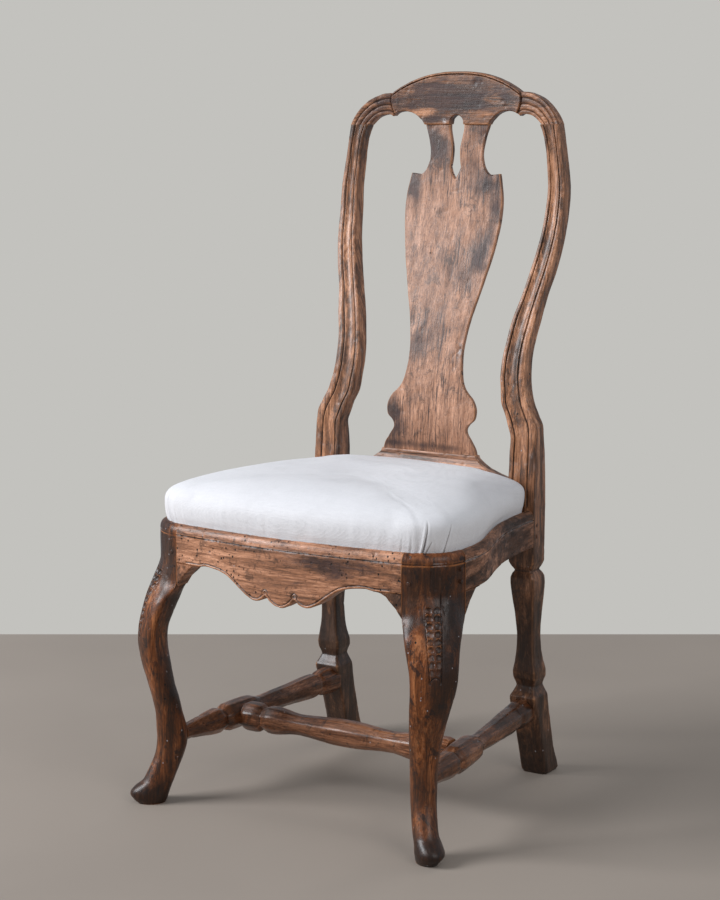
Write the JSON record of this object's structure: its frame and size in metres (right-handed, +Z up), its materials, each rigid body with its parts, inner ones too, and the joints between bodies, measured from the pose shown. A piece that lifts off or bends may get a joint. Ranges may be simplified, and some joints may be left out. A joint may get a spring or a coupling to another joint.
{
  "type": "side chair",
  "caption": "Wooden side chair with cabriole front legs, a serpentine seat frame, a vase-shaped splat, turned stretchers and a lift-out seat cushion in plain linen.",
  "frame": {"origin": "on the floor, at the middle of the chair's bounding box in plan", "axes": "+Z up, +Y from the front rail towards the back, +X to the right as seen from the front"},
  "size_m": [0.536, 0.5252, 1.076],
  "materials": {
    "rail_wood": "worn wax, semi-gloss",
    "leg_wood": "worn wax, semi-gloss",
    "back_wood": "worn wax, semi-gloss",
    "crest_wood": "worn wax, semi-gloss",
    "splat_wood": "worn wax, semi-gloss",
    "stretcher_wood": "worn wax, gloss",
    "peg_wood": "worn wax",
    "plain_wood": "sawn, unfinished",
    "webbing": "woven jute",
    "hessian": "open plain weave",
    "stuffing": "curled hair",
    "linen": "plain weave, matt",
    "tack_steel": "dull blued steel"
  },
  "bodies": {
    "chair": {"front_rail": "rail_wood", "rear_rail": "rail_wood", "left_side_rail": "rail_wood", "right_side_rail": "rail_wood", "left_front_leg": "leg_wood", "right_front_leg": "leg_wood", "left_front_bracket": "leg_wood", "right_front_bracket": "leg_wood", "left_side_bracket": "leg_wood", "right_side_bracket": "leg_wood", "left_post": "back_wood", "right_post": "back_wood", "crest_rail": "crest_wood", "splat": "splat_wood", "splat_shoe": "back_wood", "left_side_stretcher": "stretcher_wood", "right_side_stretcher": "stretcher_wood", "cross_stretcher": "stretcher_wood", "front_leg_pegs": "peg_wood", "post_pegs": "peg_wood", "crest_pegs": "peg_wood"},
    "seat": {"seat_frame_front": "plain_wood", "seat_frame_rear": "plain_wood", "seat_frame_left": "plain_wood", "seat_frame_right": "plain_wood", "long_webbing": "webbing", "cross_webbing": "webbing", "hessian": "hessian", "stuffing": "stuffing", "linen_cover": "linen", "cover_tacks": "tack_steel"}
  },
  "joints": [
    {"name": "seat_lift", "type": "slide", "parent": "chair", "child": "seat", "axis": [0, 0, 1], "range_m": [0, 0.07]}
  ]
}
